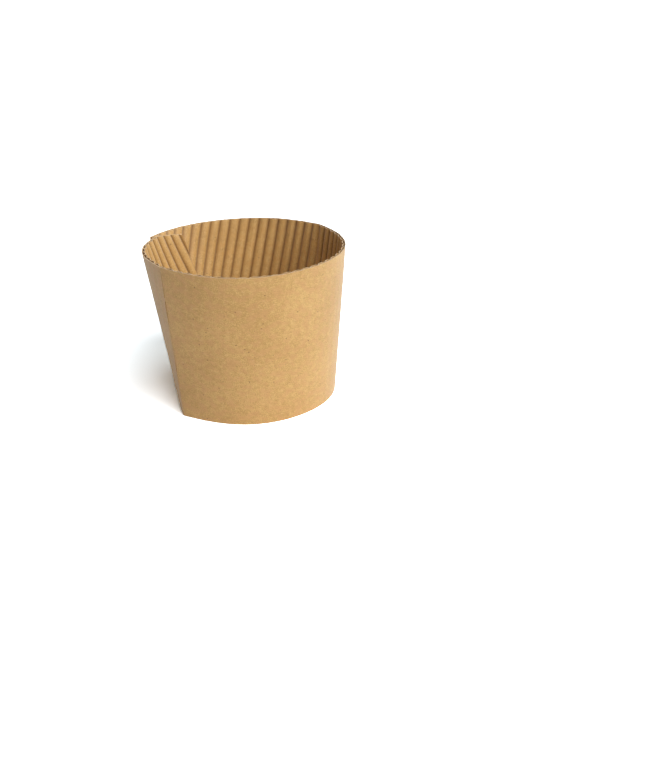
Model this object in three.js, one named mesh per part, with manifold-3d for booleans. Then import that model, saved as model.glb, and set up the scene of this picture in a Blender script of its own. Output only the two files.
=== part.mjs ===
// Coffee cup sleeve of single-face corrugated kraft board, opened up and standing on its narrow end.
// Millimetres, +Z up, the origin below the middle of its outer size, the front panel towards -Y.
import * as THREE from 'three';
import { mergeVertices } from 'three/addons/utils/BufferGeometryUtils.js';
import Module from 'manifold-3d';

const wasm = await Module();
wasm.setup();

// The flat blank: a sector of a ring with two equal panels, a glue flap and an outer end
const BOARD_WIDTH = 62;
const PANEL_TOP = 125.4;
const PANEL_BOTTOM = 105.4;
const FLAP_TOP = 59.7;
const FLAP_BOTTOM = 59.8;
const FLAP_TAPER = 2.4;
const FLAP_TAPER_LENGTH = 14;
const OUTER_END_TOP = 43.4;
const OUTER_END_BOTTOM = 24;

// The board: smooth paper outside, fluted paper inside
const LINER_THICKNESS = 0.3;
const MEDIUM_THICKNESS = 0.25;
const FLUTE_HEIGHT = 1.2;
const FLUTE_PITCH = 4.168;
const FLUTE_LEAN = THREE.MathUtils.degToRad(9.9);
const FLUTE_START = 1.68;
const GLUE_GAP = 0.1;
const LAP_GAP = 0.35;

// The two perforated folds: slits in a row that runs past both edges of the board
const SLIT_COUNT = 7;
const SLIT_LENGTH = 9.3;
const SLIT_PITCH = 10.9;
const SLIT_START = -4.5;
const SLIT_WIDTH = 0.35;
const FOLD_SOFTNESS = 1.5;

// How the opened loop stands: the fold-to-fold direction, the bend left at each fold, and how the
// bend of the paper swings round the loop, as cosine and sine parts for two, three and four swings
const TOP_LOOP = {
  facing: THREE.MathUtils.degToRad(45.4),
  leftBend: THREE.MathUtils.degToRad(12.2),
  rightBend: THREE.MathUtils.degToRad(13.2),
  swings: [[-0.64, 0.09], [-0.54, -0.05], [-1.34, 0.34]],
  shift: new THREE.Vector2(-2.4, 1.3),
};
const BOTTOM_LOOP = {
  facing: THREE.MathUtils.degToRad(43.8),
  leftBend: THREE.MathUtils.degToRad(41),
  rightBend: THREE.MathUtils.degToRad(10.7),
  swings: [[-0.94, 0.20], [-0.49, -0.16], [-1.34, 0.34]],
  shift: new THREE.Vector2(0, 0),
};
const LAP_RUN_IN = 24;
const LAP_MARGIN = 1.5;

// Mesh fineness
const LOOP_STEPS = 1440;
const LINER_STEP = 2.8;
const LINER_ROWS = 6;
const FLUTE_STEPS = 4;
const MEDIUM_ROWS = 6;

const RING_ANGLE = (PANEL_TOP - PANEL_BOTTOM) / BOARD_WIDTH;
const INNER_RADIUS = PANEL_BOTTOM / RING_ANGLE;
const OUTER_RADIUS = INNER_RADIUS + BOARD_WIDTH;
const MEDIUM_DEPTH = LINER_THICKNESS + GLUE_GAP;
const BOARD_THICKNESS = MEDIUM_DEPTH + FLUTE_HEIGHT;
const LAP_STEP = BOARD_THICKNESS + LAP_GAP;

// Places round the loop are shares of one turn: 0 at the left fold, 0.5 at the right fold,
// 1 at the left fold again, and below 0 on the glue flap
const FLAP = {
  top: -FLAP_TOP / (2 * PANEL_TOP),
  bottom: -FLAP_BOTTOM / (2 * PANEL_BOTTOM),
};
const OUTER_END = {
  top: 1 - OUTER_END_TOP / (2 * PANEL_TOP),
  bottom: 1 - OUTER_END_BOTTOM / (2 * PANEL_BOTTOM),
};

// Closed plan curve of one rim, worked out by walking along its heading
function makeLoop(shape, length) {
  const softness = FOLD_SOFTNESS / length;
  const crease = (turn, at) => THREE.MathUtils.smoothstep(turn, at - softness, at + softness);
  const plainBend = 2 * Math.PI - shape.leftBend - shape.rightBend;
  const heading = (turn, closing) => {
    let angle = plainBend * turn;
    angle += shape.leftBend * (crease(turn, 0) + crease(turn, 1));
    angle += shape.rightBend * crease(turn, 0.5);
    [closing, ...shape.swings].forEach(([cosine, sine], index) => {
      const wave = 2 * Math.PI * (index + 1);
      angle += (cosine * Math.sin(wave * turn) + sine * (1 - Math.cos(wave * turn))) / wave;
    });
    return angle;
  };
  const walk = (closing) => {
    const points = [new THREE.Vector2()];
    for (let i = 0; i < LOOP_STEPS; i += 1) {
      const angle = heading((i + 0.5) / LOOP_STEPS, closing);
      const stride = new THREE.Vector2(Math.cos(angle), Math.sin(angle));
      points.push(points[i].clone().addScaledVector(stride, 1 / LOOP_STEPS));
    }
    return points;
  };
  const points = walk(closeLoop(walk));
  const centre = points.slice(1).reduce((sum, p) => sum.add(p), new THREE.Vector2());
  centre.divideScalar(LOOP_STEPS);
  const across = points[LOOP_STEPS / 2].clone().sub(points[0]);
  const turnBy = shape.facing - across.angle();
  return points.map((p) => {
    const moved = p.clone().sub(centre).multiplyScalar(length);
    return moved.rotateAround(new THREE.Vector2(), turnBy).add(shape.shift);
  });
}

// One swing a turn is what opens or shuts the loop, so it is solved for by Newton's method
function closeLoop(walk) {
  const probe = 1e-4;
  let [cosine, sine] = [0, 0];
  for (let round = 0; round < 8; round += 1) {
    const miss = walk([cosine, sine])[LOOP_STEPS];
    const a = walk([cosine + probe, sine])[LOOP_STEPS].sub(miss).divideScalar(probe);
    const b = walk([cosine, sine + probe])[LOOP_STEPS].sub(miss).divideScalar(probe);
    const area = a.cross(b);
    cosine -= miss.cross(b) / area;
    sine -= a.cross(miss) / area;
  }
  return [cosine, sine];
}

const topLoop = makeLoop(TOP_LOOP, 2 * PANEL_TOP);
const bottomLoop = makeLoop(BOTTOM_LOOP, 2 * PANEL_BOTTOM);

function loopPoint(loop, turn) {
  const place = (turn - Math.floor(turn)) * LOOP_STEPS;
  const index = Math.min(Math.floor(place), LOOP_STEPS - 1);
  return loop[index].clone().lerp(loop[index + 1], place - index);
}

// The plan point at a share of the height, on the straight line from the bottom rim to the top rim
function planPoint(turn, height) {
  return loopPoint(bottomLoop, turn).lerp(loopPoint(topLoop, turn), height);
}

function outward(turn, height) {
  const reach = 1 / LOOP_STEPS;
  const along = planPoint(turn + reach, height).sub(planPoint(turn - reach, height));
  return new THREE.Vector2(along.y, -along.x).normalize();
}

// Half the step of the glued lap lifts the outer end and half sinks the flap under it. Both run-ins
// follow the slanting edge of the other layer and end a margin before it.
function lapShift(turn, height) {
  const board = PANEL_TOP + PANEL_BOTTOM;
  const edge = (end) => THREE.MathUtils.lerp(end.bottom, end.top, height);
  const runIn = LAP_RUN_IN / board;
  const liftEnd = 1 + edge(FLAP) - LAP_MARGIN / board;
  const sinkEnd = 1 - edge(OUTER_END) - LAP_MARGIN / board;
  const lift = THREE.MathUtils.smoothstep(turn, liftEnd - runIn, liftEnd);
  const sink = THREE.MathUtils.smoothstep(-turn, sinkEnd - runIn, sinkEnd);
  return (lift - sink) * LAP_STEP / 2;
}

// Rolls up the blank: a place on it, by turn and radius, and a depth in from its outer face
function rollUp({ turn, radius }, depth) {
  const height = (radius - INNER_RADIUS) / BOARD_WIDTH;
  const spread = loopPoint(topLoop, turn).distanceTo(loopPoint(bottomLoop, turn));
  const plan = planPoint(turn, height);
  plan.addScaledVector(outward(turn, height), lapShift(turn, height) - depth);
  return new THREE.Vector3(plan.x, plan.y, height * Math.sqrt(BOARD_WIDTH ** 2 - spread ** 2));
}

// The flap's top and bottom edges draw in towards its end
function flapTrim(turn) {
  const start = FLAP.top + FLAP_TAPER_LENGTH / (2 * PANEL_TOP);
  const share = (start - turn) / (start - FLAP.top);
  return FLAP_TAPER * THREE.MathUtils.clamp(share, 0, 1);
}

// Closed skin over a grid of places: outer side, inner side and the rim that joins them.
// Each cell is split along its shorter diagonal, which lies closest to the rolled surface.
function closedSheet(columns, rows, place) {
  const points = [];
  const indices = [];
  const at = (i, j, side) => (side * columns + i) * rows + j;
  for (const side of [0, 1]) {
    for (let i = 0; i < columns; i += 1) {
      for (let j = 0; j < rows; j += 1) {
        points.push(place(i, j, side));
      }
    }
  }
  const quad = (a, b, c, d) => {
    if (points[a].distanceTo(points[c]) <= points[b].distanceTo(points[d])) {
      indices.push(a, b, c, a, c, d);
    } else {
      indices.push(a, b, d, b, c, d);
    }
  };
  for (let i = 0; i + 1 < columns; i += 1) {
    for (let j = 0; j + 1 < rows; j += 1) {
      quad(at(i, j, 0), at(i + 1, j, 0), at(i + 1, j + 1, 0), at(i, j + 1, 0));
      quad(at(i, j, 1), at(i, j + 1, 1), at(i + 1, j + 1, 1), at(i + 1, j, 1));
    }
    quad(at(i, 0, 1), at(i + 1, 0, 1), at(i + 1, 0, 0), at(i, 0, 0));
    quad(at(i, rows - 1, 0), at(i + 1, rows - 1, 0), at(i + 1, rows - 1, 1), at(i, rows - 1, 1));
  }
  const last = columns - 1;
  for (let j = 0; j + 1 < rows; j += 1) {
    quad(at(0, j, 1), at(0, j, 0), at(0, j + 1, 0), at(0, j + 1, 1));
    quad(at(last, j, 0), at(last, j, 1), at(last, j + 1, 1), at(last, j + 1, 0));
  }
  const geometry = new THREE.BufferGeometry().setFromPoints(points);
  geometry.setIndex(indices);
  return geometry;
}

function toManifold(geometry) {
  const plain = new THREE.BufferGeometry();
  plain.setAttribute('position', geometry.getAttribute('position'));
  plain.setIndex(geometry.getIndex());
  const merged = mergeVertices(plain, 1e-5);
  return new wasm.Manifold(new wasm.Mesh({
    numProp: 3,
    vertProperties: new Float32Array(merged.getAttribute('position').array),
    triVerts: new Uint32Array(merged.getIndex().array),
  }));
}

function fromManifold(solid) {
  const mesh = solid.getMesh();
  const geometry = new THREE.BufferGeometry();
  geometry.setAttribute('position', new THREE.Float32BufferAttribute(mesh.vertProperties, 3));
  geometry.setIndex([...mesh.triVerts]);
  return geometry;
}

// Columns of the liner, as places on the top and bottom edges, closer together at each fold
function linerColumns() {
  const columns = [];
  const stretch = (from, to) => {
    const count = Math.ceil(Math.abs(to.top - from.top) * 2 * PANEL_TOP / LINER_STEP);
    for (let i = 0; i < count; i += 1) {
      const share = i / count;
      columns.push({
        top: THREE.MathUtils.lerp(from.top, to.top, share),
        bottom: THREE.MathUtils.lerp(from.bottom, to.bottom, share),
      });
    }
  };
  const beside = (fold, distance) => ({
    top: fold + distance / (2 * PANEL_TOP),
    bottom: fold + distance / (2 * PANEL_BOTTOM),
  });
  const creased = (fold) => [-1, -0.5, 0, 0.5, 1].map((share) => beside(fold, share * FOLD_SOFTNESS));
  const left = creased(0);
  const right = creased(0.5);
  stretch(FLAP, left[0]);
  columns.push(...left.slice(0, -1));
  stretch(left.at(-1), right[0]);
  columns.push(...right.slice(0, -1));
  stretch(right.at(-1), OUTER_END);
  columns.push(OUTER_END);
  return columns;
}

// Perforation: narrow boxes that stand across the liner along a fold
function slitCutters(fold) {
  const cutters = [];
  for (let i = 0; i < SLIT_COUNT; i += 1) {
    const start = SLIT_START + i * SLIT_PITCH;
    const low = rollUp({ turn: fold, radius: INNER_RADIUS + start }, LINER_THICKNESS / 2);
    const high = rollUp({ turn: fold, radius: INNER_RADIUS + start + SLIT_LENGTH }, LINER_THICKNESS / 2);
    const face = outward(fold, (start + SLIT_LENGTH / 2) / BOARD_WIDTH);
    const box = new THREE.BoxGeometry(SLIT_WIDTH, 3 * LINER_THICKNESS, low.distanceTo(high));
    const up = high.clone().sub(low).normalize();
    const side = new THREE.Vector3(face.x, face.y, 0).cross(up).normalize();
    const axes = new THREE.Matrix4().makeBasis(side, up.clone().cross(side), up);
    box.applyMatrix4(axes.setPosition(low.lerp(high, 0.5)));
    cutters.push(toManifold(box));
  }
  return cutters;
}

function makeLiner() {
  const columns = linerColumns();
  const place = (i, j, side) => {
    const share = j / LINER_ROWS;
    const { top, bottom } = columns[i];
    const turn = THREE.MathUtils.lerp(bottom, top, share);
    const low = INNER_RADIUS + flapTrim(turn);
    const high = OUTER_RADIUS - flapTrim(turn);
    const radius = THREE.MathUtils.lerp(low, high, share);
    return rollUp({ turn, radius }, side * LINER_THICKNESS);
  };
  const sheet = toManifold(closedSheet(columns.length, LINER_ROWS + 1, place));
  const slits = [...slitCutters(0), ...slitCutters(0.5)];
  return fromManifold(sheet.subtract(wasm.Manifold.union(slits)));
}

// Flat coordinates with y along the flutes and x across them, both from the blank's apex
function toFlat(turn, radius) {
  const angle = (turn - 0.5) * 2 * RING_ANGLE + FLUTE_LEAN;
  return new THREE.Vector2(radius * Math.sin(angle), radius * Math.cos(angle));
}

function fromFlat(x, y) {
  const angle = Math.atan2(x, y) - FLUTE_LEAN;
  return { turn: angle / (2 * RING_ANGLE) + 0.5, radius: Math.hypot(x, y) };
}

// Where the flute at x meets an edge of the blank whose radius is given by the turn
function edgeCrossing(x, edgeRadius) {
  let y = Math.sqrt(edgeRadius(0.5) ** 2 - x ** 2);
  for (let round = 0; round < 12; round += 1) {
    y = Math.sqrt(edgeRadius(fromFlat(x, y).turn) ** 2 - x ** 2);
  }
  return y;
}

// Where the flute at x meets the straight cut at an end of the blank
function endCrossing(x, low, high) {
  return THREE.MathUtils.mapLinear(x, low.x, high.x, low.y, high.y);
}

// The fluted paper's middle, as a share of the flute height: level stretches joined by slopes
function fluteShare(step) {
  const phase = ((step % FLUTE_STEPS) + FLUTE_STEPS) % FLUTE_STEPS;
  return phase < FLUTE_STEPS / 2 ? 0 : 1;
}

function makeMedium() {
  const lowEdge = (turn) => INNER_RADIUS + flapTrim(turn);
  const highEdge = (turn) => OUTER_RADIUS - flapTrim(turn);
  const ends = [FLAP, OUTER_END].map(({ top, bottom }) => ({
    low: toFlat(bottom, lowEdge(bottom)),
    high: toFlat(top, highEdge(top)),
  }));
  const stepLength = FLUTE_PITCH / FLUTE_STEPS;
  const firstStep = Math.ceil((ends[0].high.x - FLUTE_START) / stepLength);
  const lastStep = Math.floor((ends[1].high.x - FLUTE_START) / stepLength);
  const lines = [];
  for (let step = firstStep; step <= lastStep; step += 1) {
    const x = FLUTE_START + (step + 0.5) * stepLength;
    const high = edgeCrossing(x, highEdge);
    let low = edgeCrossing(x, lowEdge);
    if (x < ends[0].low.x) low = endCrossing(x, ends[0].low, ends[0].high);
    if (x > ends[1].low.x) low = endCrossing(x, ends[1].low, ends[1].high);
    if (high - low > stepLength) lines.push({ x, low, high, share: fluteShare(step) });
  }
  const travel = FLUTE_HEIGHT - MEDIUM_THICKNESS;
  const place = (i, j, side) => {
    const { x, low, high, share } = lines[i];
    const y = THREE.MathUtils.lerp(low, high, j / MEDIUM_ROWS);
    return rollUp(fromFlat(x, y), MEDIUM_DEPTH + share * travel + side * MEDIUM_THICKNESS);
  };
  return fromManifold(toManifold(closedSheet(lines.length, MEDIUM_ROWS + 1, place)));
}

function paperMesh(name, geometry, colour, roughness) {
  const material = new THREE.MeshStandardMaterial({ color: colour, roughness, metalness: 0 });
  geometry.computeVertexNormals();
  const mesh = new THREE.Mesh(geometry, material);
  mesh.name = name;
  return mesh;
}

const sleeve = new THREE.Group();
sleeve.add(paperMesh('outer_liner', makeLiner(), 0xb9935f, 0.9));
sleeve.add(paperMesh('fluted_medium', makeMedium(), 0xb58d58, 0.95));
const middle = new THREE.Box3().setFromObject(sleeve).getCenter(new THREE.Vector3());
sleeve.children.forEach((paper) => paper.geometry.translate(-middle.x, -middle.y, 0));

export default sleeve;
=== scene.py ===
"""Looks of the opened coffee cup sleeve: smooth kraft liner outside, fluted kraft paper inside.

The blank's lengths below are in millimetres and repeat the part's own driving dimensions. A place
on the blank is a turn round the loop (0 at the left fold, 0.5 at the right fold, 1 at the left fold
again, below 0 on the glue flap) and a radius from the apex of the ring that the blank is cut from.
"""
import math

import bpy
import numpy as np
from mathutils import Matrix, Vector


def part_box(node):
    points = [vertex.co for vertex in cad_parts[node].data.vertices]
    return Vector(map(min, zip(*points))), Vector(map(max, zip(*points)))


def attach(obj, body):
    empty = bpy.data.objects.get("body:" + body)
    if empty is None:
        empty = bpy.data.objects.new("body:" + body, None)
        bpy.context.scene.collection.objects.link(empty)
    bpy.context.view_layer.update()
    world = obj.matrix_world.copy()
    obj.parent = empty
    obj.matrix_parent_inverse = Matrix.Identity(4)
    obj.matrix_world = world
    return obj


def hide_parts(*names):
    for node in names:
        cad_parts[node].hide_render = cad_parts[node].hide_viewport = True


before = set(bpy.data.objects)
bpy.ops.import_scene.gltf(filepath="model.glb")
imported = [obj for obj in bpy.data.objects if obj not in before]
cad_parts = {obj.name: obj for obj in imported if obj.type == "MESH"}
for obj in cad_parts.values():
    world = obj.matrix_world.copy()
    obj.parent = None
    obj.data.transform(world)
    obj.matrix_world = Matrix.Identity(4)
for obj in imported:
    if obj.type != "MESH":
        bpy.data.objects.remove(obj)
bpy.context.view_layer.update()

MM = 0.001

# The flat blank
BOARD_WIDTH = 62
PANEL_TOP = 125.4
PANEL_BOTTOM = 105.4
FLAP_TOP = 59.7
FLAP_BOTTOM = 59.8
FLAP_TAPER = 2.4
FLAP_TAPER_LENGTH = 14
OUTER_END_TOP = 43.4
OUTER_END_BOTTOM = 24

# The board
LINER_THICKNESS = 0.3
MEDIUM_THICKNESS = 0.25
FLUTE_HEIGHT = 1.2
FLUTE_PITCH = 4.168
FLUTE_LEAN = math.radians(9.9)
FLUTE_START = 1.68
GLUE_GAP = 0.1
LAP_GAP = 0.35

# The perforated folds
SLIT_COUNT = 7
SLIT_LENGTH = 9.3
SLIT_PITCH = 10.9
SLIT_START = -4.5
SLIT_WIDTH = 0.35
SLIT_SHUT = 0.3
SLIT_GAPES = [(46, 9, 0.9), (20.5, 4, 0.55)]
FOLDS = (0, 0.5)
FOLD_SOFTNESS = 1.5
FOLD_COLUMNS = (0.4, 0.8)
FOLD_PRESS = 0.62
FOLD_PRESS_WIDTH = 1.7

# How the opened loop stands
TOP_LOOP = {
    "facing": math.radians(45.4), "left_bend": math.radians(12.2), "right_bend": math.radians(13.2),
    "swings": [(-0.64, 0.09), (-0.54, -0.05), (-1.34, 0.34)], "shift": complex(-2.4, 1.3),
}
BOTTOM_LOOP = {
    "facing": math.radians(43.8), "left_bend": math.radians(41), "right_bend": math.radians(10.7),
    "swings": [(-0.94, 0.20), (-0.49, -0.16), (-1.34, 0.34)], "shift": 0j,
}
LAP_RUN_IN = 24
LAP_MARGIN = 1.5

# Unevenness of the hand-opened board and of its two papers
WANDER_VALUES = 4096
WANDER_START = 1000
RIPPLE_SLOW = 0.10
RIPPLE_QUICK = 0.05
LINER_TOP_ROUGH = 0.05
LINER_LOW_ROUGH = 0.03
LINER_ROUGH_POWER = 8
FIBRE_RISE = 0.012
WASHBOARD_RISE = 0.02
LIP_RISE = 0.04
LIP_WIDTH = 0.6
GROOVE_POWER = 0.85
MEDIUM_TOP_ROUGH = (0.10, 0.06)
MEDIUM_LOW_ROUGH = 0.05
FLUTE_SWAY = 0.16
FLUTE_SAG = 0.10
TOP_CRUSH = 0.10
TOP_CRUSH_START = 0.965
LOW_CRUSH = 0.06
LOW_CRUSH_END = 0.03

# How strongly each marking of the kraft paper shows, painted groove shade and rim highlight
# included
TONE_GAIN = 2.5
BLUSH_AMOUNT = 0.5
PALE_FLECK_AMOUNT = 0.35
FINE_SPECK_AMOUNT = 0.55
SPECK_AMOUNT = 0.9
# Painted shade that darkens the fluted paper towards its grooves
GROOVE_SHADE_AMOUNT = 0.72
# Pale cut edges: partly pale cut fibre, partly a painted highlight along the rims
CUT_PALENESS_AND_HIGHLIGHT = 0.75
FLECK_RAGGEDNESS = 0.06
BUMP_HEIGHT = 0.12

# Mesh fineness, and the names of what the meshes carry for their materials
LOOP_STEPS = 1440
CLOSING_ROUNDS = 8
CROSSING_ROUNDS = 12
LINER_STEP = 0.8
FLUTE_STEPS = 16
MEDIUM_ROWS = 36
SHARP_ANGLE = math.radians(48)
FLAT_MAP = "flat_blank"
FLAT_MAP_MM = 100
SHARE = "rise"
CUT = "cut_edge"

RING_ANGLE = (PANEL_TOP - PANEL_BOTTOM) / BOARD_WIDTH
INNER_RADIUS = PANEL_BOTTOM / RING_ANGLE
OUTER_RADIUS = INNER_RADIUS + BOARD_WIDTH
BOARD_LENGTH = PANEL_TOP + PANEL_BOTTOM
MEDIUM_DEPTH = LINER_THICKNESS + GLUE_GAP
LAP_STEP = MEDIUM_DEPTH + FLUTE_HEIGHT + LAP_GAP
FLAP = {"top": -FLAP_TOP / (2 * PANEL_TOP), "bottom": -FLAP_BOTTOM / (2 * PANEL_BOTTOM)}
OUTER_END = {
    "top": 1 - OUTER_END_TOP / (2 * PANEL_TOP),
    "bottom": 1 - OUTER_END_BOTTOM / (2 * PANEL_BOTTOM),
}


def smooth_step(x, low, high):
    """0 below low, 1 above high, and 3t^2 - 2t^3 between them."""
    share = np.clip((x - low) / (high - low), 0, 1)
    return share * share * (3 - 2 * share)


def wander(x, spacing, seed):
    """Smooth random line from -1 to 1: seeded values at every spacing, joined by smooth steps."""
    place = np.asarray(x, float) / spacing + WANDER_START
    index = np.floor(place).astype(int)
    values = np.random.default_rng(seed).uniform(-1, 1, WANDER_VALUES)
    share = smooth_step(place - index, 0, 1)
    before, after = values[index % WANDER_VALUES], values[(index + 1) % WANDER_VALUES]
    return before * (1 - share) + after * share


def make_loop(shape, length):
    """Closed plan curve of a rim, as complex numbers.

    The heading grows evenly with the turn, by a smooth step at each fold, and by cosine and sine
    swings; adding up short strides along it gives the points. The one-swing pair is solved for by
    Newton's method, so that the last point meets the first.
    """
    softness = FOLD_SOFTNESS / length
    turn = (np.arange(LOOP_STEPS) + 0.5) / LOOP_STEPS
    bend = {at: smooth_step(turn, at - softness, at + softness) for at in (0, 0.5, 1)}
    plain = (2 * math.pi - shape["left_bend"] - shape["right_bend"]) * turn
    plain = plain + shape["left_bend"] * (bend[0] + bend[1]) + shape["right_bend"] * bend[0.5]

    def walk(closing):
        """Points of the loop of length 1, for the one-swing cosine and sine."""
        heading = plain.copy()
        for count, (cosine, sine) in enumerate([closing, *shape["swings"]], 1):
            wave = 2 * math.pi * count
            heading += (cosine * np.sin(wave * turn) + sine * (1 - np.cos(wave * turn))) / wave
        return np.concatenate([[0], np.cumsum(np.exp(1j * heading)) / LOOP_STEPS])

    closing = np.zeros(2)
    probe = 1e-4
    for _ in range(CLOSING_ROUNDS):
        miss = walk(closing)[-1]
        slopes = [(walk(closing + probe * side)[-1] - miss) / probe for side in np.eye(2)]
        matrix = np.array([[s.real for s in slopes], [s.imag for s in slopes]])
        closing = closing - np.linalg.solve(matrix, [miss.real, miss.imag])
    points = walk(closing)
    points -= points[1:].mean()
    turn_by = shape["facing"] - np.angle(points[LOOP_STEPS // 2] - points[0])
    return points * length * np.exp(1j * turn_by) + shape["shift"]


TOP_RIM = make_loop(TOP_LOOP, 2 * PANEL_TOP)
BOTTOM_RIM = make_loop(BOTTOM_LOOP, 2 * PANEL_BOTTOM)


def loop_point(loop, turn):
    """Point of a loop at a turn, on the straight line between its two nearest steps."""
    place = (turn % 1) * LOOP_STEPS
    index = np.minimum(place.astype(int), LOOP_STEPS - 1)
    return loop[index] + (loop[index + 1] - loop[index]) * (place - index)


def plan_point(turn, height):
    """Plan point at a share of the height, on the straight line from bottom rim to top rim."""
    low, high = loop_point(BOTTOM_RIM, turn), loop_point(TOP_RIM, turn)
    return low + (high - low) * height


def outward(turn, height):
    """Level direction square to the loop and away from the cup."""
    reach = 1 / LOOP_STEPS
    along = plan_point(turn + reach, height) - plan_point(turn - reach, height)
    return -1j * along / np.abs(along)


def lap_shift(turn, height):
    """Half the step of the glued lap lifts the outer end, and half sinks the flap under it.

    Both smooth run-ins follow the slanting edge of the other layer and end a margin before it.
    """
    flap_edge, outer_edge = (
        end["bottom"] + (end["top"] - end["bottom"]) * height for end in (FLAP, OUTER_END)
    )
    run_in = LAP_RUN_IN / BOARD_LENGTH
    lift_end = 1 + flap_edge - LAP_MARGIN / BOARD_LENGTH
    sink_end = 1 - outer_edge - LAP_MARGIN / BOARD_LENGTH
    lift = smooth_step(turn, lift_end - run_in, lift_end)
    sink = smooth_step(-turn, sink_end - run_in, sink_end)
    return (lift - sink) * LAP_STEP / 2


def ripple(turn, radius):
    """Shallow unevenness of the opened board: a slow and a quick pair of crossed random lines."""
    along = turn * BOARD_LENGTH
    rise = radius - INNER_RADIUS
    slow = wander(along, 31, 11) * wander(rise + 9, 27, 12)
    quick = wander(along + 0.4 * rise, 13, 13) * wander(rise, 17, 14)
    return RIPPLE_SLOW * slow + RIPPLE_QUICK * quick


def roll_up(turn, radius, depth):
    """Rolls up the blank: the plan point, moved outwards by the lap's step less the depth."""
    height = (radius - INNER_RADIUS) / BOARD_WIDTH
    spread = np.abs(loop_point(TOP_RIM, turn) - loop_point(BOTTOM_RIM, turn))
    shift = lap_shift(turn, height) + ripple(turn, radius) - depth
    plan = plan_point(turn, height) + outward(turn, height) * shift
    return np.stack([plan.real, plan.imag, height * np.sqrt(BOARD_WIDTH**2 - spread**2)], -1)


def flap_trim(turn):
    """How far the flap's top and bottom edges draw in, growing evenly towards its end."""
    start = FLAP["top"] + FLAP_TAPER_LENGTH / (2 * PANEL_TOP)
    return FLAP_TAPER * np.clip((start - turn) / (start - FLAP["top"]), 0, 1)


def to_flat(turn, radius, lean=FLUTE_LEAN):
    """Flat coordinates from the apex: y along the flutes and x across them."""
    angle = (turn - 0.5) * 2 * RING_ANGLE + lean
    return radius * np.sin(angle), radius * np.cos(angle)


def from_flat(x, y):
    """Turn and radius of a place in flat coordinates."""
    return (np.arctan2(x, y) - FLUTE_LEAN) / (2 * RING_ANGLE) + 0.5, np.hypot(x, y)


def skin_quads(index, kept):
    """Faces of a closed skin: both sides of every kept cell, and a wall wherever kept cells end.

    index[side, column, row] numbers the corners; the padded mask tells which cell edges are walls.
    """
    outer, inner = index
    quads = []

    def add(corners, mask):
        """Adds a face of four corners for every cell in the mask."""
        quads.append(np.stack([corner[mask] for corner in corners], -1))

    first, last, whole = slice(None, -1), slice(1, None), slice(None)
    cell = [(first, first), (last, first), (last, last), (first, last)]
    add([outer[cell[at]] for at in (0, 1, 2, 3)], kept)
    add([inner[cell[at]] for at in (0, 3, 2, 1)], kept)
    padded = np.pad(kept, 1)
    before, after = padded[:-1, 1:-1], padded[1:, 1:-1]
    low, high = (whole, first), (whole, last)
    add([inner[low], outer[low], outer[high], inner[high]], after & ~before)
    add([outer[low], inner[low], inner[high], outer[high]], before & ~after)
    below, above = padded[1:-1, :-1], padded[1:-1, 1:]
    left, right = (first, whole), (last, whole)
    add([inner[left], inner[right], outer[right], outer[left]], above & ~below)
    add([outer[left], outer[right], inner[right], inner[left]], below & ~above)
    return np.concatenate(quads)


def paper_sheet(name, sides, kept, flat, share, plan_shift):
    """Mesh of a paper sheet from its two sides, with flat coordinates as UV.

    The share goes into one attribute, and 1 on the outline of the sheet and 0 within into another.
    """
    points = (np.asarray(sides) + [*plan_shift, 0]) * MM
    index = np.arange(points[..., 0].size).reshape(points.shape[:3])
    quads = skin_quads(index, kept)
    mesh = bpy.data.meshes.new(name)
    mesh.vertices.add(index.size)
    mesh.vertices.foreach_set("co", points.reshape(-1).astype(np.float32))
    mesh.loops.add(quads.size)
    mesh.loops.foreach_set("vertex_index", quads.reshape(-1).astype(np.int32))
    mesh.polygons.add(len(quads))
    mesh.polygons.foreach_set("loop_start", np.arange(0, quads.size, 4, dtype=np.int32))
    mesh.update(calc_edges=True)
    mesh.validate()
    corner = quads.reshape(-1) % (index.size // 2)
    uv = np.stack([part.reshape(-1)[corner] for part in flat], -1) / FLAT_MAP_MM
    mesh.uv_layers.new(name=FLAT_MAP).data.foreach_set("uv", uv.reshape(-1).astype(np.float32))
    both = np.concatenate([share.reshape(-1), share.reshape(-1)]).astype(np.float32)
    mesh.attributes.new(SHARE, "FLOAT", "POINT").data.foreach_set("value", both)
    cut = np.ones(points.shape[:3], np.float32)
    cut[:, 1:-1, 1:-1] = 0
    mesh.attributes.new(CUT, "FLOAT", "POINT").data.foreach_set("value", cut.reshape(-1))
    mesh.polygons.foreach_set("use_smooth", np.ones(len(quads), bool))
    mesh.set_sharp_from_angle(angle=SHARP_ANGLE)
    piece = bpy.data.objects.new(name, mesh)
    bpy.context.scene.collection.objects.link(piece)
    return piece


def liner_columns():
    """Places of the liner's columns on the top and bottom edge, one slit's width at each fold."""
    def beside(fold, distance):
        """Turns on the top and bottom edge at a distance beside a fold."""
        return np.array([fold + distance / (2 * PANEL_TOP), fold + distance / (2 * PANEL_BOTTOM)])

    near = [SLIT_WIDTH / 2, *FOLD_COLUMNS, FOLD_SOFTNESS]
    near = [-distance for distance in reversed(near)] + near
    left, right = ([beside(fold, distance) for distance in near] for fold in FOLDS)
    flap, end = (np.array([place["top"], place["bottom"]]) for place in (FLAP, OUTER_END))

    def stretch(start, stop):
        """Even columns from a start up to a stop, which is left out."""
        count = math.ceil(abs(stop[0] - start[0]) * 2 * PANEL_TOP / LINER_STEP)
        return start + (stop - start) * np.linspace(0, 1, count, endpoint=False)[:, None]

    return np.concatenate([
        stretch(flap, left[0]), left[:-1], stretch(left[-1], right[0]), right[:-1],
        stretch(right[-1], end), [end],
    ])


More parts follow.
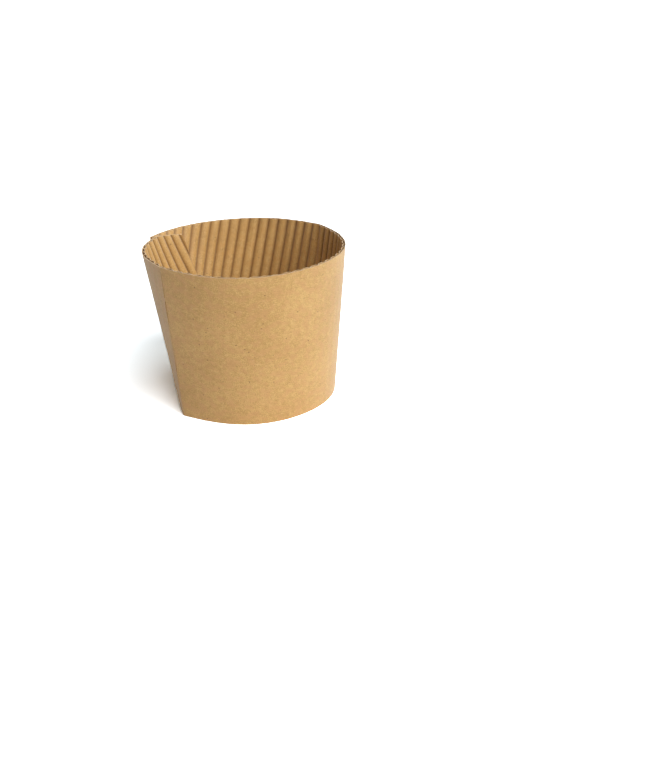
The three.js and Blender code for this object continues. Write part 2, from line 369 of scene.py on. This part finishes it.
def liner_rows():
    """Heights of the liner's rows, with every slit's ends among them, and which rows are slits."""
    starts = SLIT_START + SLIT_PITCH * np.arange(SLIT_COUNT)
    ends = np.sort(np.concatenate([starts, starts + SLIT_LENGTH]))
    marks = np.unique(np.clip(ends, 0, BOARD_WIDTH))
    rows = [0.0]
    for low, high in zip(marks[:-1], marks[1:]):
        count = math.ceil((high - low) / LINER_STEP)
        rows.extend(low + (high - low) * np.arange(1, count + 1) / count)
    rows = np.array(rows)
    middles = (rows[:-1] + rows[1:]) / 2
    in_slit = ((middles[:, None] > starts) & (middles[:, None] < starts + SLIT_LENGTH)).any(1)
    return rows, in_slit


def slit_opening(rows):
    """Share of its cut width that a slit gapes at a height: nearly shut, plus two bell curves."""
    return SLIT_SHUT + sum(
        gape * np.exp(-(((rows - at) / spread) ** 2)) for at, spread, gape in SLIT_GAPES
    )


def make_liner(plan_shift):
    """Smooth outer paper: the rolled blank at depths 0 and one thickness, with its slits open.

    Its face is raised by fibres, by the flutes behind it and by a lip along each fold.
    """
    columns = liner_columns()
    rows, in_slit = liner_rows()
    share = rows / BOARD_WIDTH
    turn = columns[:, 1:] + (columns[:, :1] - columns[:, 1:]) * share
    for fold in FOLDS:
        lips_of_slit = np.abs(columns[:, 0] - fold) * 2 * PANEL_TOP < SLIT_WIDTH
        turn[lips_of_slit] = fold + (turn[lips_of_slit] - fold) * slit_opening(rows)
    along = turn * 2 * PANEL_TOP
    trim = flap_trim(turn)
    rough_top = LINER_TOP_ROUGH * (2 + wander(along, 0.9, 21) + wander(along, 3.1, 22))
    rough_low = LINER_LOW_ROUGH * (1 + wander(along, 1.1, 23))
    low = INNER_RADIUS + trim + rough_low * (1 - share) ** LINER_ROUGH_POWER
    high = OUTER_RADIUS - trim - rough_top * share**LINER_ROUGH_POWER
    radius = low + (high - low) * share
    fold_distance = np.minimum(np.abs(along), np.abs(along - PANEL_TOP))
    fibre = FIBRE_RISE * wander(along * 1.7, 1.0, 24) * wander(radius, 1.3, 25)
    flute_x, _ = to_flat(turn, radius)
    washboard = WASHBOARD_RISE * np.sin(2 * math.pi * (flute_x - FLUTE_START) / FLUTE_PITCH)
    lips = LIP_RISE * np.exp(-((fold_distance / LIP_WIDTH) ** 2))
    face = -(fibre + washboard + lips)
    sides = [roll_up(turn, radius, face + depth) for depth in (0, LINER_THICKNESS)]
    kept = np.ones((len(columns) - 1, len(rows) - 1), bool)
    middles = (columns[:-1, 0] + columns[1:, 0]) / 2
    for fold in FOLDS:
        at_fold = np.abs(middles - fold) * 2 * PANEL_TOP < SLIT_WIDTH / 4
        kept[np.ix_(at_fold, in_slit)] = False
    flat = to_flat(turn, radius, 0)
    share = np.broadcast_to(share, turn.shape)
    return paper_sheet("smooth_liner", sides, kept, flat, share, plan_shift)


def edge_crossing(x, edge_radius):
    """Where the flute at x meets an edge of the blank, found by repeating y = sqrt(r^2 - x^2)."""
    y = np.sqrt(edge_radius(0.5) ** 2 - x**2)
    for _ in range(CROSSING_ROUNDS):
        y = np.sqrt(edge_radius(from_flat(x, y)[0]) ** 2 - x**2)
    return y


def flute_rise(phase):
    """Share of the flute's height: 0 in the groove, at phase 0.25, and 1 on the crest, at 0.75.

    The sine of the distance from the groove, a quarter wave to the crest, raised to a power
    below 1, which makes the crest broad and the groove narrow.
    """
    distance = 2 * np.abs((phase + 0.25) % 1 - 0.5)
    return np.sin(math.pi / 2 * distance) ** GROOVE_POWER


def make_medium(plan_shift):
    """Fluted inner paper: lines along the flutes, each at the depth that the wave has there.

    A bell curve of the distance from each fold presses the flutes down along it. Random lines
    sway each flute, let it sag and make both cut edges rough, which also crush the flutes a little.
    """
    def low_edge(turn):
        """Radius of the blank's bottom edge, with the flap's trim."""
        return INNER_RADIUS + flap_trim(np.asarray(turn, float))

    def high_edge(turn):
        """Radius of the blank's top edge, with the flap's trim."""
        return OUTER_RADIUS - flap_trim(np.asarray(turn, float))

    ends = []
    for place in (FLAP, OUTER_END):
        ends.append([
            to_flat(place["bottom"], float(low_edge(place["bottom"]))),
            to_flat(place["top"], float(high_edge(place["top"]))),
        ])
    step = FLUTE_PITCH / FLUTE_STEPS
    first = math.ceil((ends[0][1][0] - FLUTE_START) / step)
    last = math.floor((ends[1][1][0] - FLUTE_START) / step)
    x = FLUTE_START + step * np.arange(first, last + 1)
    high = edge_crossing(x, high_edge)
    low = edge_crossing(x, low_edge)
    for (low_end, high_end), beyond in zip(ends, (x < ends[0][0][0], x > ends[1][0][0])):
        slope = (high_end[1] - low_end[1]) / (high_end[0] - low_end[0])
        low = np.where(beyond, low_end[1] + (x - low_end[0]) * slope, low)
    long_enough = high - low > FLUTE_PITCH / 4
    x, low, high = x[long_enough], low[long_enough], high[long_enough]
    quick_rough, slow_rough = MEDIUM_TOP_ROUGH
    high = high - quick_rough * (1 + wander(x, 1.3, 31)) - slow_rough * (1 + wander(x, 5.7, 32))
    low = low + MEDIUM_LOW_ROUGH * (1 + wander(x, 1.7, 33))
    share = np.linspace(0, 1, MEDIUM_ROWS + 1)[None, :]
    y = low[:, None] + (high - low)[:, None] * share
    phase = (x[:, None] - FLUTE_START) / FLUTE_PITCH
    flute = np.round(phase - 0.25)
    rise = flute_rise(phase)
    x = x[:, None] + FLUTE_SWAY * wander(y + 7.3 * phase, 17, 34)
    fullness = 1 - FLUTE_SAG * (1 + wander(flute * 3.3 + y / 23, 1, 35)) / 2
    near_top = smooth_step(share, TOP_CRUSH_START, 1)
    near_low = smooth_step(-share, -LOW_CRUSH_END, 0)
    crushed = 1 - TOP_CRUSH * near_top - LOW_CRUSH * near_low
    turn, radius = from_flat(x, y)
    fold_distance = np.minimum(np.abs(turn), np.abs(turn - 0.5)) * 2 * RING_ANGLE * radius
    pressed = 1 - FOLD_PRESS * np.exp(-((fold_distance / FOLD_PRESS_WIDTH) ** 2))
    travel = (FLUTE_HEIGHT - MEDIUM_THICKNESS) * rise * fullness * crushed * pressed
    # The painted groove shade lessens where the folds press the flutes down
    rise = 1 - (1 - rise) * pressed
    depth = MEDIUM_DEPTH + travel
    sides = [roll_up(turn, radius, depth + behind) for behind in (0, MEDIUM_THICKNESS)]
    kept = np.ones((x.shape[0] - 1, MEDIUM_ROWS), bool)
    return paper_sheet("fluted_paper", sides, kept, (x, y), rise, plan_shift)


class Wire:
    """A socket of a node tree. Arithmetic on it adds Math nodes; node() adds any other node."""

    def __init__(self, tree, socket=None):
        self.tree = tree
        self.socket = socket

    def node(self, kind, settings=None, inputs=None, output=0):
        """Adds a node, fills its settings and inputs, and wraps one of its outputs."""
        made = self.tree.nodes.new(kind)
        for name, value in (settings or {}).items():
            if name == "stops":
                ramp = made.color_ramp
                while len(ramp.elements) < len(value):
                    ramp.elements.new(0.5)
                for element, (place, colour) in zip(ramp.elements, value):
                    element.position = place
                    element.color = colour
            else:
                setattr(made, name, value)
        for name, value in (inputs or {}).items():
            if isinstance(value, Wire):
                self.tree.links.new(value.socket, made.inputs[name])
            else:
                made.inputs[name].default_value = value
        return Wire(self.tree, made.outputs[output] if len(made.outputs) else None)

    def maths(self, operation, *terms):
        """A Math node on any terms, wires or numbers."""
        return self.node("ShaderNodeMath", {"operation": operation}, dict(enumerate(terms)))

    def __add__(self, other):
        return self.maths("ADD", self, other)

    def __sub__(self, other):
        return self.maths("SUBTRACT", self, other)

    def __rsub__(self, other):
        return self.maths("SUBTRACT", other, self)

    def __mul__(self, other):
        return self.maths("MULTIPLY", self, other)

    __radd__ = __add__
    __rmul__ = __mul__

    def between(self, low, high):
        """0 below low and 1 above high, with a smooth step between them."""
        return self.node("ShaderNodeMapRange", {"interpolation_type": "SMOOTHSTEP"},
                         {"Value": self, "From Min": low, "From Max": high})

    def tint(self, amount, shade):
        """This colour, mixed towards a shade by an amount from 0 to 1."""
        return self.node("ShaderNodeMix", {"data_type": "RGBA"},
                         {0: amount, 6: self, 7: (*shade, 1)}, 2)

    def either(self, low_shade, high_shade):
        """The low shade where this value is 0, and the high shade where it is 1."""
        return self.node("ShaderNodeMix", {"data_type": "RGBA"},
                         {0: self, 6: (*low_shade, 1), 7: (*high_shade, 1)}, 2)

    def seen_ray(self):
        """1 for camera, glossy and transmission rays, and 0 for rays that light the sleeve."""
        camera, glossy, transmission = (
            self.node("ShaderNodeLightPath", None, None, kind)
            for kind in ("Is Camera Ray", "Is Glossy Ray", "Is Transmission Ray")
        )
        return self.maths("MINIMUM", camera + glossy + transmission, 1)

    def carried(self, attribute):
        """Number that the mesh carries under an attribute's name."""
        return self.node("ShaderNodeAttribute", {"attribute_name": attribute}, None, 2)

    def noise(self, place, scale, detail, roughness=0.5):
        """Cloudy noise about 0.5, with its scale in lumps per millimetre."""
        return self.node("ShaderNodeTexNoise", {"noise_dimensions": "3D"}, {
            "Vector": place, "Scale": scale, "Detail": detail, "Roughness": roughness})

    def flecks(self, place, scale, core, rim):
        """Small marks, one to a Voronoi cell: 1 up to the core, and 0 beyond the rim.

        This wire is the grain, which makes the marks' edges ragged.
        """
        spots = self.node("ShaderNodeTexVoronoi", {"feature": "F1"}, {
            "Vector": place, "Scale": scale, "Randomness": 1.0})
        return 1 - (spots + self * FLECK_RAGGEDNESS).between(core, rim)

    def place(self, stretch=(1, 1, 1), shift=(0, 0, 0), turn=0.0):
        """Flat blank coordinates in millimetres, stretched, shifted and turned."""
        flat = self.node("ShaderNodeUVMap", {"uv_map": FLAT_MAP})
        return flat.node("ShaderNodeMapping", None, {
            "Vector": flat, "Location": shift, "Rotation": (0, 0, turn),
            "Scale": tuple(FLAT_MAP_MM * side for side in stretch)})


def fresh_tree(owner):
    """Switches on a material's or world's nodes and empties its tree."""
    owner.use_nodes = True
    owner.node_tree.nodes.clear()
    return Wire(owner.node_tree)


def kraft(name, shades):
    """Uncoated kraft paper: cloudy and mottled tone, fibres both ways, dark and pale specks.

    The tone is a weighted sum of noises about 1, spread by a gain over three stops. Cut edges are
    paler, partly pale cut fibre and partly a painted highlight along the rims. Where the shades
    name a groove, a painted shade darkens the paper towards the flutes' grooves, where shade falls.
    """
    material = bpy.data.materials.new(name)
    paper = fresh_tree(material)
    flat = paper.place()
    cloud = paper.noise(flat, 0.045, 3.0)
    mottle = paper.noise(flat, 0.55, 4.0, 0.6)
    grain = paper.noise(flat, 2.6, 3.0, 0.65)
    fibre_along = paper.noise(paper.place((0.7, 3.0, 1), (3, 8, 0), 0.12), 0.8, 3.0, 0.6)
    fibre_across = paper.noise(paper.place((2.6, 0.8, 1), (40, 5, 0), -0.3), 0.8, 3.0, 0.6)
    tone = cloud * 0.26 + mottle * 0.36 + grain * 0.92 + fibre_along * 0.30 + fibre_across * 0.16
    colour = paper.node("ShaderNodeValToRGB", {"stops": [
        (0.36, (*shades["deep"], 1)), (0.5, (*shades["plain"], 1)), (0.64, (*shades["pale"], 1)),
    ]}, {"Fac": (tone - 1.0) * TONE_GAIN + 0.5})

    blush = paper.noise(paper.place((1, 1.5, 1), (25, 140, 0)), 0.26, 3.0).between(0.42, 0.62)
    pale_flecks = grain.flecks(paper.place((0.5, 1.3, 1), (51, 19, 0), 0.2), 0.5, 0.10, 0.24)
    fine_specks = grain.flecks(paper.place((1.4, 0.8, 1), (2, 60, 0), 1.1), 0.95, 0.12, 0.22)
    fine_patches = paper.noise(paper.place(shift=(15, 77, 0)), 0.5, 1.0).between(0.47, 0.60)
    specks = grain.flecks(paper.place((1, 1.6, 1), (7, 11, 0), 0.5), 0.34, 0.10, 0.17)
    speck_patches = paper.noise(paper.place(shift=(90, 30, 0)), 0.16, 1.0).between(0.50, 0.62)
    colour = colour.tint(blush * BLUSH_AMOUNT, shades["blush"])
    colour = colour.tint(pale_flecks * PALE_FLECK_AMOUNT, shades["fleck"])
    colour = colour.tint(fine_specks * fine_patches * FINE_SPECK_AMOUNT, shades["bark"])
    colour = colour.tint(specks * speck_patches * SPECK_AMOUNT, shades["bark"])
    # Painted shade: the fluted paper darkens towards the grooves between its flutes, where shade
    # falls
    if "groove" in shades:
        groove = 1 - paper.carried(SHARE).between(0.0, 0.92)
        colour = colour.tint(groove * GROOVE_SHADE_AMOUNT, shades["groove"])
    # Pale cut edges: partly pale cut fibre, partly a painted highlight along the rims
    colour = colour.tint(paper.carried(CUT).between(0.93, 1.0) * CUT_PALENESS_AND_HIGHLIGHT, shades["cut"])

    bumps = mottle * 0.35 + grain * 0.45 + fibre_along * 0.5 + fibre_across * 0.35
    normal = paper.node("ShaderNodeBump", None, {
        "Strength": 0.35, "Distance": BUMP_HEIGHT * MM, "Height": bumps})
    shader = paper.node("ShaderNodeBsdfPrincipled", None, {
        "Base Color": colour, "Roughness": mottle * 0.12 + 0.45, "Normal": normal,
        "Specular IOR Level": 0.5, "Sheen Weight": 0.30, "Sheen Roughness": 0.42})
    paper.node("ShaderNodeOutputMaterial", None, {"Surface": shader})
    return material


# Shades of the two papers and of the ground
# Both papers' cut shade is partly pale cut fibre and partly a painted highlight along the rims
LINER_SHADES = {
    "deep": (0.466, 0.276, 0.091), "plain": (0.546, 0.338, 0.118), "pale": (0.626, 0.402, 0.153),
    "fleck": (0.680, 0.450, 0.215), "bark": (0.200, 0.100, 0.035), "blush": (0.560, 0.305, 0.128),
    "cut": (0.700, 0.500, 0.290),
}
# The fluted paper's groove shade is a painted shade for the grooves between its flutes
MEDIUM_SHADES = {
    "deep": (0.490, 0.278, 0.090), "plain": (0.580, 0.345, 0.118), "pale": (0.655, 0.405, 0.150),
    "fleck": (0.680, 0.450, 0.205), "bark": (0.180, 0.085, 0.028), "blush": (0.585, 0.330, 0.105),
    "cut": (0.700, 0.500, 0.280), "groove": (0.190, 0.085, 0.022),
}
GROUND_LIT_SHADE = (0.85, 0.79, 0.73)
GROUND_MIRRORED_SHADE = (0.95, 0.95, 0.95)
GROUND_SEEN_SHADE = (2.18, 2.30, 2.42)


def white_ground(name):
    """Matt white ground, on which only shadows show.

    One shade for the light that it throws back on the sleeve, a whiter one in reflections, and the
    palest for the camera.
    """
    material = bpy.data.materials.new(name)
    ground = fresh_tree(material)
    mirrored = ground.seen_ray().either(GROUND_LIT_SHADE, GROUND_MIRRORED_SHADE)
    camera_ray = ground.node("ShaderNodeLightPath", None, None, "Is Camera Ray")
    shade = mirrored.tint(camera_ray, GROUND_SEEN_SHADE)
    diffuse = ground.node("ShaderNodeBsdfDiffuse", None, {"Color": shade})
    ground.node("ShaderNodeOutputMaterial", None, {"Surface": diffuse})
    return material


# The two papers, each in the place of its solid
rims = np.concatenate([
    roll_up(turns, np.full(len(turns), radius), depth)
    for turns, radius in zip(liner_columns().T, (OUTER_RADIUS, INNER_RADIUS))
    for depth in (0, LINER_THICKNESS)
])
solid_middle = np.mean(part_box("outer_liner"), axis=0) / MM
plan_shift = (solid_middle - (rims.min(axis=0) + rims.max(axis=0)) / 2)[:2]
liner = make_liner(plan_shift)
liner.data.materials.append(kraft("kraft_liner_paper", LINER_SHADES))
medium = make_medium(plan_shift)
medium.data.materials.append(kraft("kraft_fluted_paper", MEDIUM_SHADES))
for piece, node, slot in (
    (liner, "outer_liner", "kraft_liner"), (medium, "fluted_medium", "kraft_medium"),
):
    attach(piece, "root")
    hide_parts(node)

# Pale ground under the sleeve
GROUND_REACH = 6.0
ground_mesh = bpy.data.meshes.new("ground")
corners = np.array([[-1, -1, 0], [1, -1, 0], [1, 1, 0], [-1, 1, 0]], float) * GROUND_REACH
ground_mesh.from_pydata(corners.tolist(), [], [(0, 1, 2, 3)])
ground_mesh.materials.append(white_ground("white_ground"))
ground = bpy.data.objects.new("ground", ground_mesh)
bpy.context.scene.collection.objects.link(ground)

# Soft light: an even sky that is white where it is seen, a broad key lamp from the front right
# and a side lamp from the back right
SKY_STRENGTH = 0.13
SKY_SHADE = (1, 0.95, 0.86)
WHITE = (1, 1, 1)
world = bpy.data.worlds.new("studio")
sky = fresh_tree(world)
seen = sky.seen_ray()
backdrop = sky.node("ShaderNodeBackground", None, {
    "Color": seen.either(SKY_SHADE, WHITE), "Strength": seen + (1 - seen) * SKY_STRENGTH})
sky.node("ShaderNodeOutputWorld", None, {"Surface": backdrop})
bpy.context.scene.world = world


def sun(name, strength, softness, towards, shade=WHITE):
    """Far lamp that shines along a direction; its softness is the angle it spans in degrees."""
    lamp = bpy.data.lights.new(name, "SUN")
    lamp.energy = strength
    lamp.color = shade
    lamp.angle = math.radians(softness)
    holder = bpy.data.objects.new(name, lamp)
    bpy.context.scene.collection.objects.link(holder)
    x, y, z = towards
    holder.rotation_euler = (math.acos(-z / math.hypot(x, y, z)), 0, math.atan2(-x, y))


sun("key_lamp", strength=2.95, softness=56, towards=(-0.50, 0.59, -0.64))
sun("side_lamp", strength=1.45, softness=50, towards=(-0.86, -0.36, -0.36), shade=(0.90, 0.98, 1))

# Camera at the photograph's angle, placed in millimetres from the middle of the bottom rim; its
# focal length is fitted in pixels of the image's longer side
CAMERA_PLACE = (28.06, -321.50, 159.9)
CAMERA_TILT = 26.47
FOCAL_PIXELS = 850
IMAGE_PIXELS = 774
SENSOR_WIDTH = 36
camera_data = bpy.data.cameras.new("camera")
camera_data.sensor_width = SENSOR_WIDTH
camera_data.lens = SENSOR_WIDTH * FOCAL_PIXELS / IMAGE_PIXELS
camera = bpy.data.objects.new("camera", camera_data)
camera.location = (np.array(CAMERA_PLACE) + [*plan_shift, 0]) * MM
camera.rotation_euler = (math.radians(90 - CAMERA_TILT), 0, 0)
bpy.context.scene.collection.objects.link(camera)
bpy.context.scene.camera = camera
bpy.context.scene.view_settings.view_transform = "Standard"


def plain(box):
    """A box's two corners as plain lists of numbers."""
    return [[float(value) for value in corner] for corner in box]
